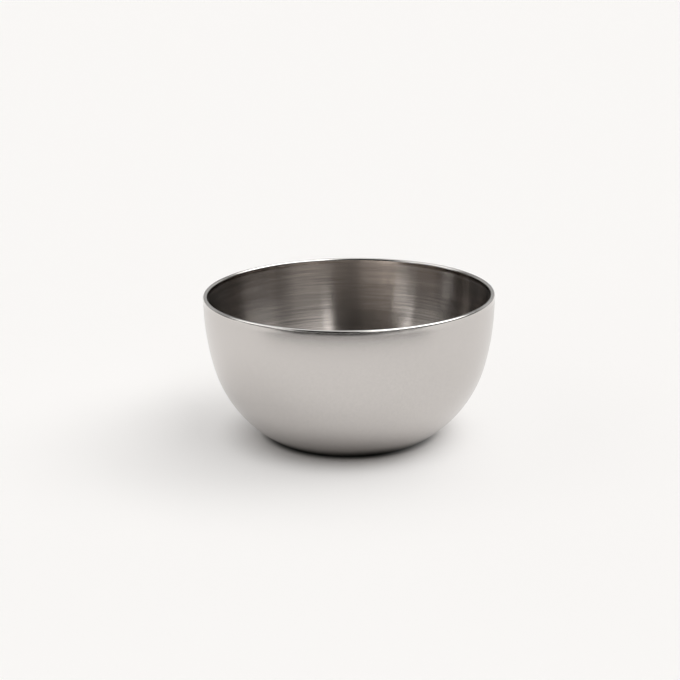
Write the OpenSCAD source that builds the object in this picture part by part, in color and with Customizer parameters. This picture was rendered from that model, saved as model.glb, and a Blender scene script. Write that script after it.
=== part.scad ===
// Double-walled stainless steel bowl: two deep-drawn shells, joined at the rim by a
// bead that is ground round and flush, with a sealed air space between them.
// The origin is the middle of the foot on the table, and +Z points up.

/* [Bowl] */
// Diameter over the rim
rim_d = 120; // [100:1:150]
// Height from the table to the crown of the rim
height = 60; // [48:1:72]
// Diameter of the flat that the bowl stands on
foot_d = 66; // [56:1:80]

/* [Outer shell] */
// Thickness of the outer sheet
outer_t = 0.85; // [0.6:0.05:1.1]
// Height of the straight lip under the rim bead
lip_h = 2; // [1:0.5:5]
// Outside radius of the wall in its upper part
upper_r = 106; // [84:1:140]
// Height of the upper part, down to where the wall curves in faster
upper_h = 27; // [20:0.5:32]
// Outside radius of the bend between the wall and the foot
foot_bend_r = 3; // [1.5:0.1:5]

/* [Base recess] */
// Diameter of the recess in the middle of the base
recess_d = 52; // [36:1:62]
// Depth of the recess
recess_h = 1.2; // [0.8:0.1:2]
// Steepest slope of the step round the recess, in degrees
recess_slope = 45; // [30:5:60]

/* [Inner shell] */
// Thickness of the inner sheet
inner_t = 0.85; // [0.6:0.05:1.1]
// Radial clearance of the inner lip in the outer lip, before they are closed
lip_fit = 0.05; // [0:0.01:0.08]
// Air space between the two walls where the inner wall turns into the floor
air_gap = 3.2; // [2:0.1:6]
// Air space between the base and the underside of the floor
floor_gap = 3.7; // [2:0.1:7]
// Radius of the bend between the inner wall and the floor, on its hidden side
floor_bend_r = 18; // [8:0.5:24]

/* [Vent plug] */
// Diameter of the vent hole in the base
vent_d = 3; // [2:0.1:4.5]
// Radial clearance of the plug's shank in the vent hole
plug_fit = 0.02; // [0:0.01:0.05]
// Diameter of the plug's head
plug_head_d = 6; // [5:0.1:12]
// Thickness of the plug's head
plug_head_h = 0.6; // [0.5:0.05:0.9]
// Rounding of the head's edge
plug_edge_r = 0.3; // [0.1:0.05:0.5]
// Height of the shank above the base, in the air space
plug_stand = 1; // [0.4:0.1:1.8]

/* [Hidden] */
$fn = 128;
// How far the steps of a pressed arc may lie from the true arc
flatness = 0.01;

function direction(angle) = [cos(angle), sin(angle)];
function angle_of(v) = atan2(v[1], v[0]);
function reversed(path) = [for (i = [len(path) - 1 : -1 : 0]) path[i]];
// An arc's points, without the first one where a tangent arc has just ended there
function arc(centre, radius, from, to, joined = false) =
    let (steps = ceil(abs(to - from) / (2 * acos(1 - flatness / radius))))
    [for (i = [joined ? 1 : 0 : steps]) centre + radius * direction(from + (to - from) * i / steps)];

// The rim: the two lips stand side by side, and the bead is as wide as both
lips_t = outer_t + lip_fit + inner_t;
bead_r = lips_t / 2;
bead_at = [rim_d / 2 - bead_r, height - bead_r];
outer_lip_r = rim_d / 2;
inner_lip_r = outer_lip_r - outer_t - lip_fit;
lip_low = bead_at[1] - lip_h;

// The outer wall is three tangent arcs. The upper one leaves the lip upright, and
// the lower one's radius is what makes it meet both the upper one and the foot bend.
upper_at = [outer_lip_r - upper_r, lip_low];
upper_end = -asin(upper_h / upper_r);
upper_foot = upper_at + upper_r * direction(upper_end);
foot_bend_at = [foot_d / 2, foot_bend_r];
to_bend = upper_foot - foot_bend_at;
lower_r = (to_bend * to_bend - foot_bend_r * foot_bend_r)
    / (2 * (to_bend * direction(upper_end) - foot_bend_r));
lower_at = upper_foot - lower_r * direction(upper_end);
lower_end = angle_of(foot_bend_at - lower_at);

// The step round the recess is two equal bends, one each way
step_mid_r = recess_h / (2 * (1 - cos(recess_slope)));
step_run = 2 * step_mid_r * sin(recess_slope);
step_low_at = [recess_d / 2, outer_t / 2 + step_mid_r];
step_high_at = [recess_d / 2 - step_run, outer_t / 2 + recess_h - step_mid_r];

// The floor bend lies the air gap inside the lower wall, and touches the floor.
// One arc from the inner lip, which it leaves upright, runs down to that bend.
floor_z = recess_h + outer_t + floor_gap;
bend_reach = lower_r - outer_t - air_gap - floor_bend_r;
bend_drop = lower_at[1] - floor_z - floor_bend_r;
floor_bend_at = lower_at + [sqrt(bend_reach * bend_reach - bend_drop * bend_drop), -bend_drop];
to_lip = [inner_lip_r, lip_low] - floor_bend_at;
inner_r = (to_lip * to_lip - floor_bend_r * floor_bend_r) / (2 * (to_lip[0] - floor_bend_r));
inner_at = [inner_lip_r - inner_r, lip_low];
inner_end = angle_of(floor_bend_at - inner_at);

// The outer sheet from the vent hole to the lip, at a depth under its outside face
function outer_path(depth) = [
    [vent_d / 2, recess_h + depth],
    each arc(step_high_at, step_mid_r - outer_t / 2 + depth, 90, 90 - recess_slope),
    each arc(step_low_at, step_mid_r + outer_t / 2 - depth, -90 - recess_slope, -90, true),
    each arc(foot_bend_at, foot_bend_r - depth, -90, lower_end),
    each arc(lower_at, lower_r - depth, lower_end, upper_end, true),
    each arc(upper_at, upper_r - depth, upper_end, 0, true),
    [outer_lip_r - depth, bead_at[1]]
];

// The inner sheet from the middle of the floor to the lip, likewise
function inner_path(depth) = [
    [0, floor_z + depth],
    each arc(floor_bend_at, floor_bend_r - depth, -90, inner_end),
    each arc(inner_at, inner_r - depth, inner_end, 0, true),
    [inner_lip_r - depth, bead_at[1]]
];

module outer_shell() {
    color("#c8c6c3") rotate_extrude()
        polygon(concat(outer_path(0), reversed(outer_path(outer_t))));
}

module inner_shell() {
    color("#8f8b88") rotate_extrude()
        polygon(concat(inner_path(0), reversed(inner_path(inner_t))));
}

// The bead sits on the ends of both lips, flush with their faces, and rounds the rim
module rim_bead() {
    color("#efeeec") rotate_extrude() polygon([
        each arc(bead_at, bead_r, 0, 90),
        each arc(bead_at, bead_r, 90, 180, true)
    ]);
}

module vent_plug() {
    shank_r = vent_d / 2 - plug_fit;
    shank_top = recess_h + outer_t + plug_stand;
    edge_at = [plug_head_d / 2 - plug_edge_r, recess_h - plug_head_h + plug_edge_r];
    color("#a9a7a4") rotate_extrude() polygon([
        [0, recess_h - plug_head_h],
        each arc(edge_at, plug_edge_r, -90, 0),
        [plug_head_d / 2, recess_h],
        [shank_r, recess_h],
        [shank_r, shank_top],
        [0, shank_top]
    ]);
}

outer_shell();
inner_shell();
rim_bead();
vent_plug();
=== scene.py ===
import math

import bmesh
import bpy
from mathutils import Matrix, Vector


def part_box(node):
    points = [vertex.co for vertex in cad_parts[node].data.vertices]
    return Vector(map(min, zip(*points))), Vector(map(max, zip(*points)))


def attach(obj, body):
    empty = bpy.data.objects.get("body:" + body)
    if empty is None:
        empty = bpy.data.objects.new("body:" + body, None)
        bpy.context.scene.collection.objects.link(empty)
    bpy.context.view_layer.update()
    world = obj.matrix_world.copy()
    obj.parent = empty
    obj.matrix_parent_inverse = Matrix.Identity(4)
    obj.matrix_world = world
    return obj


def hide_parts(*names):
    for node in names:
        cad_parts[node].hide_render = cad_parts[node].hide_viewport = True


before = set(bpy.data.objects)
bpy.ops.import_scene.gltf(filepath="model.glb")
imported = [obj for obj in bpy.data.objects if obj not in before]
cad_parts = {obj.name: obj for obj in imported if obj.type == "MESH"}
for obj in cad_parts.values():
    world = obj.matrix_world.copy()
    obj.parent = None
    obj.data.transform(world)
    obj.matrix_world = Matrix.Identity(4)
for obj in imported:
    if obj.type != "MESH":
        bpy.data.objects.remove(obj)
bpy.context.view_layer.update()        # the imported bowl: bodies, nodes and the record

mm = 0.001
fineTurn = 320                           # steps in a full turn, smooth even at the rim
sharpAngle = 30                          # degrees; the faces at a sharper edge aren't blended
mergeWithin = 0.001                      # mm; points closer than this are one

# The rim bead is a half round: its foot is on the ends of the two lips, and its crown is the top
rimLow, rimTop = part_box("rim_bead")
rimRadius = (rimTop.z - rimLow.z) / mm
rimAt = (rimTop.x / mm - rimRadius, rimLow.z / mm)


# A line is drawn in the XZ plane, in millimetres, and turned round the bowl's axis. A bend has a
# point every few degrees, as its step says.

def startLine(x, z):
    line = bmesh.new()
    return line, line.verts.new((x * mm, 0, z * mm))


def drawTo(line, tip, x, z):
    end = bmesh.ops.extrude_vert_indiv(line, verts=[tip])["verts"][0]
    end.co = (x * mm, 0, z * mm)
    return end


def drawRound(line, tip, centre, degrees, step=1.5):
    turned = bmesh.ops.spin(
        line, geom=[tip], cent=(centre[0] * mm, 0, centre[1] * mm), axis=(0, -1, 0), dvec=(0, 0, 0),
        angle=math.radians(degrees), steps=math.ceil(abs(degrees) / step),
        use_merge=False, use_normal_flip=False, use_duplicate=False)
    return next(v for v in turned["geom_last"] if isinstance(v, bmesh.types.BMVert))


def turnLine(line):
    bmesh.ops.spin(
        line, geom=line.verts[:] + line.edges[:], cent=(0, 0, 0), axis=(0, 0, 1), dvec=(0, 0, 0),
        angle=math.tau, steps=fineTurn, use_merge=True, use_normal_flip=False, use_duplicate=False)
    bmesh.ops.remove_doubles(line, verts=line.verts, dist=mergeWithin * mm)     # closes the pole
    bmesh.ops.recalc_face_normals(line, faces=line.faces)


def finishPiece(shape, name, material):
    for face in shape.faces:
        face.smooth = True
    for edge in shape.edges:
        if len(edge.link_faces) == 2:
            edge.smooth = edge.calc_face_angle() < math.radians(sharpAngle)
    mesh = bpy.data.meshes.new(name)
    shape.to_mesh(mesh)
    shape.free()
    piece = bpy.data.objects.new(name, mesh)
    bpy.context.scene.collection.objects.link(piece)
    mesh.materials.append(material)
    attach(piece, "root")
    return piece


# Nodes and colours

noiseRange = {"From Min": 0.3, "From Max": 0.7}       # nearly all of a noise lies between these
bumpStrength = 0.5                                    # how much of a pattern's depth is shown


def linear(hexColour):
    parts = [int(hexColour[i:i + 2], 16) / 255 for i in (1, 3, 5)]
    return [c / 12.92 if c <= 0.04045 else ((c + 0.055) / 1.055) ** 2.4 for c in parts] + [1.0]


def addNode(tree, kind, settings=None, inputs=None):
    node = tree.nodes.new(kind)
    for name, value in (settings or {}).items():
        setattr(node, name, value)
    for name, value in (inputs or {}).items():
        if isinstance(value, bpy.types.NodeSocket):
            tree.links.new(value, node.inputs[name])
        else:
            node.inputs[name].default_value = value
    return node


def newMaterial(name):
    material = bpy.data.materials.new(name)
    material.use_nodes = True
    tree = material.node_tree
    shader = tree.nodes["Principled BSDF"]
    return material, tree, shader


# Streaks that run round the bowl: long one way, and thin across, up the wall and over the floor
def streaksRound(tree, length, width):
    place = addNode(tree, "ShaderNodeTexCoord").outputs["Object"]
    flat = addNode(tree, "ShaderNodeVectorMath", {"operation": "MULTIPLY"}, {0: place, 1: (1, 1, 0)})
    radius = addNode(tree, "ShaderNodeVectorMath", {"operation": "LENGTH"}, {0: flat.outputs[0]})
    up = addNode(tree, "ShaderNodeSeparateXYZ", None, {0: place}).outputs["Z"]
    along = addNode(tree, "ShaderNodeMath", {"operation": "ADD"}, {0: radius.outputs["Value"], 1: up})
    across = addNode(tree, "ShaderNodeMath", {"operation": "DIVIDE"},
                     {0: along.outputs[0], 1: width * mm})
    around = addNode(tree, "ShaderNodeVectorMath", {"operation": "SCALE"},
                     {0: flat.outputs[0], "Scale": 1 / (length * mm)})
    rise = addNode(tree, "ShaderNodeCombineXYZ", None, {"Z": across.outputs[0]})
    spot = addNode(tree, "ShaderNodeVectorMath", {"operation": "ADD"},
                   {0: around.outputs[0], 1: rise.outputs[0]})
    return addNode(tree, "ShaderNodeTexNoise", None,
                   {"Vector": spot.outputs[0], "Scale": 1.0, "Detail": 2.0}).outputs["Fac"]


def smoothBetween(tree, value, start, end, first=0.0, last=1.0):
    return addNode(tree, "ShaderNodeMapRange", {"interpolation_type": "SMOOTHSTEP"},
                   {"Value": value, "From Min": start, "From Max": end,
                    "To Min": first, "To Max": last}).outputs[0]


# The wheel that polished the rim ran out over the top edge of each wall
def polishAtRim(tree, place, sheet):
    up = addNode(tree, "ShaderNodeSeparateXYZ", None, {0: place}).outputs["Z"]
    return smoothBetween(tree, up, sheet["polishFrom"] * mm, sheet["polishTo"] * mm,
                         sheet["roughness"], sheet["polished"])


# Satin stainless steel, the outside: drawn, then blasted fine, so it shows no lines and no mirror
# image, only an even soft grey.
satinSteel = {"colour": "#d0ccc9", "darkest": 0.94, "lightest": 1.0, "roughness": 0.23,
              "grain": 0.8, "grainDepth": 0.005,             # coarser than the blasting, to show
              "polished": 0.08, "polishFrom": 57, "polishTo": 58.4}


def makeSatinSteel():
    satin = satinSteel
    material, tree, shader = newMaterial("satinStainlessSteel")
    place = addNode(tree, "ShaderNodeTexCoord").outputs["Object"]
    grain = addNode(tree, "ShaderNodeTexNoise", None,
                    {"Vector": place, "Scale": 1 / (satin["grain"] * mm), "Detail": 3.0}).outputs["Fac"]
    shade = addNode(tree, "ShaderNodeMapRange", None,
                    {"Value": grain, **noiseRange,
                     "To Min": satin["darkest"], "To Max": satin["lightest"]})
    colour = addNode(tree, "ShaderNodeVectorMath", {"operation": "SCALE"},
                     {0: linear(satin["colour"])[:3], "Scale": shade.outputs[0]})
    bump = addNode(tree, "ShaderNodeBump", None,
                   {"Height": grain, "Strength": bumpStrength, "Distance": satin["grainDepth"] * mm})
    gloss = polishAtRim(tree, place, satin)
    tree.links.new(colour.outputs[0], shader.inputs["Base Color"])
    tree.links.new(gloss, shader.inputs["Roughness"])
    tree.links.new(bump.outputs[0], shader.inputs["Normal"])
    shader.inputs["Metallic"].default_value = 1.0
    return material


# Stainless steel brushed on a lathe, the inside: lines round the bowl that draw reflections out
# into upright bands
brushedSteel = {"colour": "#c5beb8", "darkest": 0.74, "lightest": 1.06,
                "roughness": 0.25, "anisotropy": 1.0,
                "lineLength": 30, "lineWidth": 0.7, "lineDepth": 0.006,  # coarser than it is, to show
                "polished": 0.1, "polishFrom": 57.6, "polishTo": 58.4}


def makeBrushedSteel():
    brushed = brushedSteel
    material, tree, shader = newMaterial("latheBrushedStainlessSteel")
    lines = streaksRound(tree, brushed["lineLength"], brushed["lineWidth"])
    shade = addNode(tree, "ShaderNodeMapRange", None,
                    {"Value": lines, **noiseRange,
                     "To Min": brushed["darkest"], "To Max": brushed["lightest"]})
    colour = addNode(tree, "ShaderNodeVectorMath", {"operation": "SCALE"},
                     {0: linear(brushed["colour"])[:3], "Scale": shade.outputs[0]})
    bump = addNode(tree, "ShaderNodeBump", None,
                   {"Height": lines, "Strength": bumpStrength, "Distance": brushed["lineDepth"] * mm})
    place = addNode(tree, "ShaderNodeTexCoord").outputs["Object"]
    gloss = polishAtRim(tree, place, brushed)
    tangent = addNode(tree, "ShaderNodeTangent", {"direction_type": "RADIAL", "axis": "Z"})
    tree.links.new(gloss, shader.inputs["Roughness"])
    tree.links.new(colour.outputs[0], shader.inputs["Base Color"])
    tree.links.new(bump.outputs[0], shader.inputs["Normal"])
    tree.links.new(tangent.outputs[0], shader.inputs["Tangent"])
    shader.inputs["Metallic"].default_value = 1.0
    shader.inputs["Anisotropic"].default_value = brushed["anisotropy"]
    shader.inputs["Anisotropic Rotation"].default_value = 0.25       # blurred across the lines
    return material


# Polished stainless steel, the rim: mopped to a near mirror, with faint marks of the mop
polishedSteel = {"colour": "#d8d5d1", "smooth": 0.19, "worn": 0.25,
                 "markLength": 4, "markWidth": 0.5}          # coarser than the mop's, to show


def makePolishedSteel():
    polish = polishedSteel
    material, tree, shader = newMaterial("polishedStainlessSteel")
    marks = streaksRound(tree, polish["markLength"], polish["markWidth"])
    gloss = addNode(tree, "ShaderNodeMapRange", None,
                    {"Value": marks, **noiseRange,
                     "To Min": polish["smooth"], "To Max": polish["worn"]})
    tree.links.new(gloss.outputs[0], shader.inputs["Roughness"])
    shader.inputs["Base Color"].default_value = linear(polish["colour"])
    shader.inputs["Metallic"].default_value = 1.0
    return material


# Turned stainless steel, the vent plug: a plain machined face with fine rings from the tool
turnedSteel = {"colour": "#c6c3bf", "darkest": 0.9, "lightest": 1.0, "roughness": 0.3,
               "ringLength": 10, "ringWidth": 0.12, "ringDepth": 0.004}


def makeTurnedSteel():
    turned = turnedSteel
    material, tree, shader = newMaterial("turnedStainlessSteel")
    rings = streaksRound(tree, turned["ringLength"], turned["ringWidth"])
    shade = addNode(tree, "ShaderNodeMapRange", None,
                    {"Value": rings, **noiseRange,
                     "To Min": turned["darkest"], "To Max": turned["lightest"]})
    colour = addNode(tree, "ShaderNodeVectorMath", {"operation": "SCALE"},
                     {0: linear(turned["colour"])[:3], "Scale": shade.outputs[0]})
    bump = addNode(tree, "ShaderNodeBump", None,
                   {"Height": rings, "Strength": bumpStrength, "Distance": turned["ringDepth"] * mm})
    tree.links.new(colour.outputs[0], shader.inputs["Base Color"])
    tree.links.new(bump.outputs[0], shader.inputs["Normal"])
    shader.inputs["Metallic"].default_value = 1.0
    shader.inputs["Roughness"].default_value = turned["roughness"]
    return material


def angleTo(start, end):
    return math.degrees(math.atan2(end[1] - start[1], end[0] - start[0]))


def pointAt(centre, radius, degrees):
    turn = math.radians(degrees)
    return (centre[0] + radius * math.cos(turn), centre[1] + radius * math.sin(turn))


# The radius that leaves top at the given slope and runs into the bend
def radiusToBend(top, slope, bendAt, bendRadius):
    toBend = (top[0] - bendAt[0], top[1] - bendAt[1])
    turn = math.radians(slope)
    lean = toBend[0] * math.cos(turn) + toBend[1] * math.sin(turn)
    return (toBend[0] ** 2 + toBend[1] ** 2 - bendRadius ** 2) / (2 * (lean - bendRadius))


# The outer shell: vent hole, base, recess step, standing ring, foot bend, wall and lip
outerShell = {"sheet": 0.85, "ventHole": 1.5, "recess": 26, "recessHeight": 1.2, "recessSlope": 45,
              "foot": 33, "footBend": 3, "upperRadius": 106, "upperHeight": 27, "lip": 2}

outerLip = rimAt[0] + rimRadius
lipLow = rimAt[1] - outerShell["lip"]
upperAt = (outerLip - outerShell["upperRadius"], lipLow)
upperEnd = -math.degrees(math.asin(outerShell["upperHeight"] / outerShell["upperRadius"]))
upperFoot = pointAt(upperAt, outerShell["upperRadius"], upperEnd)
footBendAt = (outerShell["foot"], outerShell["footBend"])
lowerRadius = radiusToBend(upperFoot, upperEnd, footBendAt, outerShell["footBend"])
lowerAt = pointAt(upperFoot, -lowerRadius, upperEnd)
lowerEnd = angleTo(lowerAt, footBendAt)


def makeOuterShell(material):
    shell = outerShell
    slope = shell["recessSlope"]
    stepRadius = shell["recessHeight"] / (2 * (1 - math.cos(math.radians(slope))))
    stepRun = 2 * stepRadius * math.sin(math.radians(slope))
    stepLow = (shell["recess"], shell["sheet"] / 2 + stepRadius)
    stepHigh = (shell["recess"] - stepRun, shell["sheet"] / 2 + shell["recessHeight"] - stepRadius)
    line, tip = startLine(shell["ventHole"], shell["recessHeight"])
    tip = drawTo(line, tip, stepHigh[0], shell["recessHeight"])
    tip = drawRound(line, tip, stepHigh, -slope, step=5)
    tip = drawRound(line, tip, stepLow, slope, step=5)
    tip = drawTo(line, tip, footBendAt[0], 0)
    tip = drawRound(line, tip, footBendAt, lowerEnd + 90, step=3)
    tip = drawRound(line, tip, lowerAt, upperEnd - lowerEnd)
    tip = drawRound(line, tip, upperAt, -upperEnd)
    drawTo(line, tip, outerLip, rimAt[1])
    turnLine(line)
    bmesh.ops.solidify(line, geom=line.faces[:], thickness=shell["sheet"] * mm)
    piece = finishPiece(line, "outerShell", material)
    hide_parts("outer_shell")


# The inner shell: floor, floor bend, wall and lip
innerShell = {"sheet": 0.85, "airGap": 3.2, "floorGap": 3.7, "floorBend": 18}


def makeInnerShell(material):
    shell = innerShell
    inside = shell["sheet"]
    innerLip = rimAt[0] - rimRadius + inside
    floorZ = outerShell["recessHeight"] + outerShell["sheet"] + shell["floorGap"]
    reach = lowerRadius - outerShell["sheet"] - shell["airGap"] - shell["floorBend"]
    drop = lowerAt[1] - floorZ - shell["floorBend"]
    bendAt = (lowerAt[0] + math.sqrt(reach ** 2 - drop ** 2), lowerAt[1] - drop)
    wallRadius = radiusToBend((innerLip, lipLow), 0, bendAt, shell["floorBend"])
    wallAt = (innerLip - wallRadius, lipLow)
    wallEnd = angleTo(wallAt, bendAt)
    line, tip = startLine(0, floorZ + inside)
    tip = drawTo(line, tip, bendAt[0], floorZ + inside)
    tip = drawRound(line, tip, bendAt, wallEnd + 90)
    tip = drawRound(line, tip, wallAt, -wallEnd)
    drawTo(line, tip, innerLip - inside, rimAt[1])
    turnLine(line)
    bmesh.ops.solidify(line, geom=line.faces[:], thickness=-inside * mm)
    piece = finishPiece(line, "innerShell", material)
    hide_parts("inner_shell")


# The rim: a half-round bead over both lips
def makeRimBead(material):
    line, first = startLine(rimAt[0] + rimRadius, rimAt[1])
    tip = drawRound(line, first, rimAt, 180, step=6)
    line.edges.new((tip, first))
    turnLine(line)
    piece = finishPiece(line, "rimBead", material)
    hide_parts("rim_bead")


# The vent plug: a low round head under the base, and a shank through the vent hole
ventPlug = {"fit": 0.02, "head": 3, "headHeight": 0.6, "headEdge": 0.3, "stand": 1}


def makeVentPlug(material):
    plug = ventPlug
    seat = outerShell["recessHeight"]
    under = seat - plug["headHeight"]
    edgeAt = (plug["head"] - plug["headEdge"], under + plug["headEdge"])
    shank = outerShell["ventHole"] - plug["fit"]
    top = seat + outerShell["sheet"] + plug["stand"]
    line, tip = startLine(0, under)
    tip = drawTo(line, tip, edgeAt[0], under)
    tip = drawRound(line, tip, edgeAt, 90, step=10)
    tip = drawTo(line, tip, plug["head"], seat)
    tip = drawTo(line, tip, shank, seat)
    tip = drawTo(line, tip, shank, top)
    drawTo(line, tip, 0, top)
    turnLine(line)
    piece = finishPiece(line, "ventPlug", material)
    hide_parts("vent_plug")


makeOuterShell(makeSatinSteel())
makeInnerShell(makeBrushedSteel())
makeRimBead(makePolishedSteel())
makeVentPlug(makeTurnedSteel())
print("bowl modelled")


# Table, light and camera

# White paper. Where the lens and the metal see it, a share of it is plain white, painted light that
# keeps the bowl's shadow pale: nearly half all round the bowl, and more on its right, where the shadow
# is faint.
# Both shares fade out further away, and round the foot, where the paper's colour is also darkened:
# painted shade.
table = {"size": 12, "colour": "#f8f6f4", "roughness": 0.9,
         # the white and right entries: shares of painted light that lift the bowl's shadow on the paper
         "white": 0.46, "whiteFrom": 35, "whiteTo": 60, "whiteEnds": 66, "whiteEnded": 170,
         "right": 0.42, "rightFrom": 10, "rightTo": 70, "rightEnds": 120, "rightEnded": 260,
         # the foot entries: painted shade, the paper's colour darkened next to the bowl's foot
         "foot": 0.05, "footShadeFrom": 33, "footShadeTo": 39}


def makeTable():
    shape = bmesh.new()
    bmesh.ops.create_grid(shape, x_segments=1, y_segments=1, size=table["size"])
    mesh = bpy.data.meshes.new("table")
    shape.to_mesh(mesh)
    shape.free()
    top = bpy.data.objects.new("table", mesh)
    bpy.context.scene.collection.objects.link(top)
    material, tree, shader = newMaterial("mattPaper")
    place = addNode(tree, "ShaderNodeTexCoord").outputs["Object"]
    away = addNode(tree, "ShaderNodeVectorMath", {"operation": "LENGTH"}, {0: place}).outputs["Value"]
    side = addNode(tree, "ShaderNodeSeparateXYZ", None, {0: place}).outputs["X"]
    # painted shade: the paper's colour is darkened next to the foot, where the bowl's shade falls
    foot = smoothBetween(tree, away, table["footShadeFrom"] * mm, table["footShadeTo"] * mm, table["foot"])
    colour = addNode(tree, "ShaderNodeVectorMath", {"operation": "SCALE"},
                     {0: linear(table["colour"])[:3], "Scale": foot})
    tree.links.new(colour.outputs[0], shader.inputs["Base Color"])
    shader.inputs["Roughness"].default_value = table["roughness"]
    shader.inputs["Specular IOR Level"].default_value = 0.0
    # painted light: a share of plain white for the lens and the metal, which lifts the bowl's shadow
    begun = smoothBetween(tree, away, table["whiteFrom"] * mm, table["whiteTo"] * mm)
    ended = smoothBetween(tree, away, table["whiteEnds"] * mm, table["whiteEnded"] * mm,
                          table["white"], 0.0)
    around = addNode(tree, "ShaderNodeMath", {"operation": "MULTIPLY"}, {0: ended, 1: begun})
    right = smoothBetween(tree, side, table["rightFrom"] * mm, table["rightTo"] * mm)
    rightPart = smoothBetween(tree, away, table["rightEnds"] * mm, table["rightEnded"] * mm,
                              table["right"], 0.0)
    share = addNode(tree, "ShaderNodeMath", {"operation": "MULTIPLY_ADD"},
                    {0: right, 1: rightPart, 2: around.outputs[0]})
    path = addNode(tree, "ShaderNodeLightPath")
    seen = addNode(tree, "ShaderNodeMath", {"operation": "MAXIMUM"},
                   {0: path.outputs["Is Camera Ray"], 1: path.outputs["Is Glossy Ray"]})
    seen = addNode(tree, "ShaderNodeMath", {"operation": "MAXIMUM"},
                   {0: seen.outputs[0], 1: path.outputs["Is Transmission Ray"]})
    part = addNode(tree, "ShaderNodeMath", {"operation": "MULTIPLY"},
                   {0: seen.outputs[0], 1: share.outputs[0]})
    white = addNode(tree, "ShaderNodeEmission", None, {"Color": linear(table["colour"])})
    mixed = addNode(tree, "ShaderNodeMixShader", None,
                    {0: part.outputs[0], 1: shader.outputs[0], 2: white.outputs[0]})
    tree.links.new(mixed.outputs[0], tree.nodes["Material Output"].inputs["Surface"])
    mesh.materials.append(material)


# A direction, in degrees round from +X towards +Y and up from the table
def direction(heading, up):
    a, b = math.radians(heading), math.radians(up)
    return Vector((math.cos(a) * math.cos(b), math.sin(a) * math.cos(b), math.sin(b)))


# A dark strip of card on the table in front, out of the picture, that only the metal sees. The
# polished edges mirror it, which draws the dark line along the near rim. Each point of its near
# edge is a heading round the bowl and a distance from the bowl's axis, and its ends are pointed.
strip = {"far": 650, "height": 0.5, "colour": "#0c0c0c", "roughness": 1.0,
         "nearEdge": [(-162, 640), (-156, 380), (-149, 272), (-140, 257), (-130, 251), (-115, 250),
                      (-102, 249), (-90, 249), (-77, 251), (-65, 255), (-52, 258), (-39, 262),
                      (-33, 280), (-28, 390), (-22, 640)]}


def makeStrip():
    shape = bmesh.new()
    near = [shape.verts.new(direction(heading, 0) * away * mm) for heading, away in strip["nearEdge"]]
    edges = [shape.edges.new(pair) for pair in zip(near, near[1:])]
    pulled = bmesh.ops.extrude_edge_only(shape, edges=edges)["geom"]
    for point in [v for v in pulled if isinstance(v, bmesh.types.BMVert)]:
        point.co = point.co.normalized() * strip["far"] * mm
    mesh = bpy.data.meshes.new("darkStrip")
    shape.to_mesh(mesh)
    shape.free()
    piece = bpy.data.objects.new("darkStrip", mesh)
    bpy.context.scene.collection.objects.link(piece)
    material, tree, shader = newMaterial("mattCard")
    shader.inputs["Base Color"].default_value = linear(strip["colour"])
    shader.inputs["Roughness"].default_value = strip["roughness"]
    shader.inputs["Specular IOR Level"].default_value = 0.0
    mesh.materials.append(material)
    piece.location.z = strip["height"] * mm
    piece.visible_camera = False
    piece.visible_diffuse = False
    piece.visible_shadow = False


# The light is all soft and comes from the room. Each glow is a round or oval patch of it, with the
# direction of its middle, its half width and half height in degrees, how much of that fades out,
# and how bright it is.
glows = {
    "keyLight": {"heading": -2, "up": 66, "wide": 48, "tall": 18, "fade": 0.3, "bright": 2.4},
    "rightLight": {"heading": 13, "up": 41, "wide": 24, "tall": 18, "fade": 0.6, "bright": 3.6},
    "leftLight": {"heading": 178, "up": 43, "wide": 28, "tall": 21, "fade": 0.25, "bright": 1.5},
    "leftWall": {"heading": 178, "up": 7, "wide": 9, "tall": 9, "fade": 0.6, "bright": 2.2},
    "backWall": {"heading": 90, "up": 0, "wide": 88, "tall": 35, "fade": 0.22, "bright": 0.55},
    "leftBack": {"heading": 138, "up": 27, "wide": 24, "tall": 12, "fade": 0.4, "bright": 0.5},
    "rightBack": {"heading": 48, "up": 24, "wide": 20, "tall": 11, "fade": 0.4, "bright": 0.5},
    "frontWall": {"heading": -49, "up": 8, "wide": 23, "tall": 7, "fade": 0.7, "bright": 0.7},
    "window": {"heading": -136, "up": 12, "wide": 9, "tall": 7, "fade": 0.45, "bright": 2.5},
    "windowTop": {"heading": -148, "up": 33, "wide": 5, "tall": 24, "fade": 0.6, "bright": 2.1},
    "smallWindow": {"heading": -69, "up": 33, "wide": 6, "tall": 9, "fade": 0.65, "bright": 2.9},
}
# The ceiling is pale, but for a dark patch on the side that the bowl is seen from. It fades in over
# a direction's height, which is 0 at the table and 1 straight up.
ceiling = {"bright": 1.38, "from": 0.59, "to": 0.7}
darkPatch = {"heading": -131, "up": 47, "wide": 45, "tall": 43, "fade": 0.15}


# 1 in the middle of an oval patch of the surroundings, and 0 outside it
def ovalPatch(tree, way, patch):
    turn = (0, -math.radians(patch["up"]), math.radians(patch["heading"]))
    size = (1, math.sin(math.radians(patch["wide"])), math.sin(math.radians(patch["tall"])))
    turned = addNode(tree, "ShaderNodeMapping", {"vector_type": "TEXTURE"},
                     {"Vector": way, "Rotation": turn, "Scale": size})
    axes = addNode(tree, "ShaderNodeSeparateXYZ", None, {0: turned.outputs[0]})
    flat = addNode(tree, "ShaderNodeCombineXYZ", None, {"Y": axes.outputs["Y"], "Z": axes.outputs["Z"]})
    away = addNode(tree, "ShaderNodeVectorMath", {"operation": "LENGTH"}, {0: flat.outputs[0]})
    shade = smoothBetween(tree, away.outputs["Value"], 1 - patch["fade"], 1.0, 1.0, 0.0)
    front = addNode(tree, "ShaderNodeMath", {"operation": "GREATER_THAN"},
                    {0: axes.outputs["X"], 1: 0.0})
    return addNode(tree, "ShaderNodeMath", {"operation": "MULTIPLY"},
                   {0: shade, 1: front.outputs[0]}).outputs[0]


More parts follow.
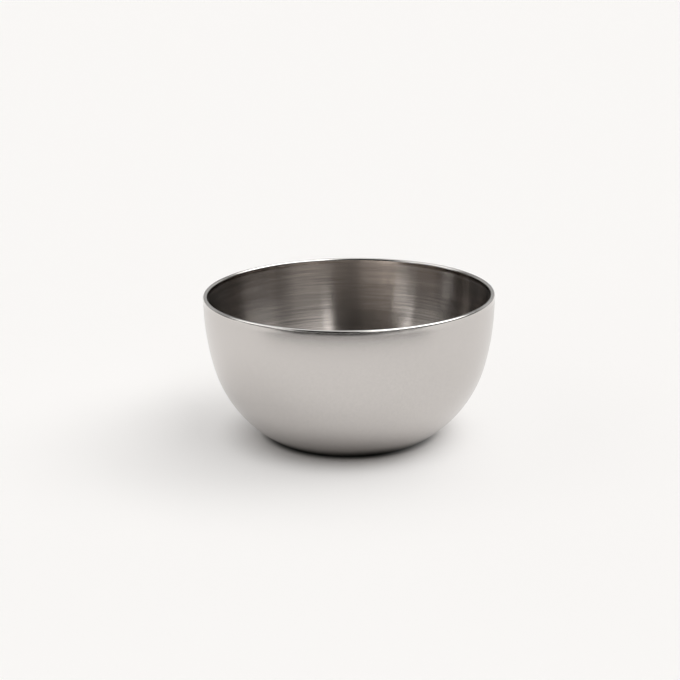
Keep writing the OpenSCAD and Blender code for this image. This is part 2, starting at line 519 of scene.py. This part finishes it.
def makeRoom():
    world = bpy.data.worlds.new("studio")
    world.use_nodes = True
    bpy.context.scene.world = world
    tree = world.node_tree
    tree.nodes.clear()
    way = addNode(tree, "ShaderNodeTexCoord").outputs["Generated"]
    height = addNode(tree, "ShaderNodeSeparateXYZ", None, {0: way}).outputs["Z"]
    pale = smoothBetween(tree, height, ceiling["from"], ceiling["to"], 0.0, ceiling["bright"])
    dark = ovalPatch(tree, way, darkPatch)
    rest = addNode(tree, "ShaderNodeMath", {"operation": "SUBTRACT"}, {0: 1.0, 1: dark})
    light = addNode(tree, "ShaderNodeMath", {"operation": "MULTIPLY"}, {0: pale, 1: rest.outputs[0]})
    for glow in glows.values():
        light = addNode(tree, "ShaderNodeMath", {"operation": "MULTIPLY_ADD"},
                        {0: ovalPatch(tree, way, glow), 1: glow["bright"], 2: light.outputs[0]})
    lit = addNode(tree, "ShaderNodeBackground", None, {"Strength": light.outputs[0]})
    addNode(tree, "ShaderNodeOutputWorld", None, {"Surface": lit.outputs[0]})


# Where the bowl is seen from: a direction and a distance from the middle of the rim, and the point
# that the lens is aimed at. The camera leans a little to one side.
photoView = {"heading": -90, "up": 14.6, "distance": 600, "aim": (-3.87, 0, 38.9),
             "lens": 76.9, "roll": -0.75}


def makeCamera():
    data = bpy.data.cameras.new("camera")
    data.lens = photoView["lens"]
    data.sensor_width = 36
    data.clip_start = 0.01
    cam = bpy.data.objects.new("camera", data)
    way = direction(photoView["heading"], photoView["up"])
    cam.location = Vector((0, 0, rimAt[1] * mm)) + way * photoView["distance"] * mm
    away = cam.location - Vector(photoView["aim"]) * mm
    turned = away.to_track_quat("Z", "Y").to_matrix().to_4x4()
    turned = turned @ Matrix.Rotation(math.radians(photoView["roll"]), 4, "Z")
    cam.rotation_euler = turned.to_euler()
    bpy.context.scene.collection.objects.link(cam)
    bpy.context.scene.camera = cam


makeTable()
makeStrip()
makeRoom()
makeCamera()
bpy.context.scene.view_settings.view_transform = "Standard"
print("table, light and camera placed")
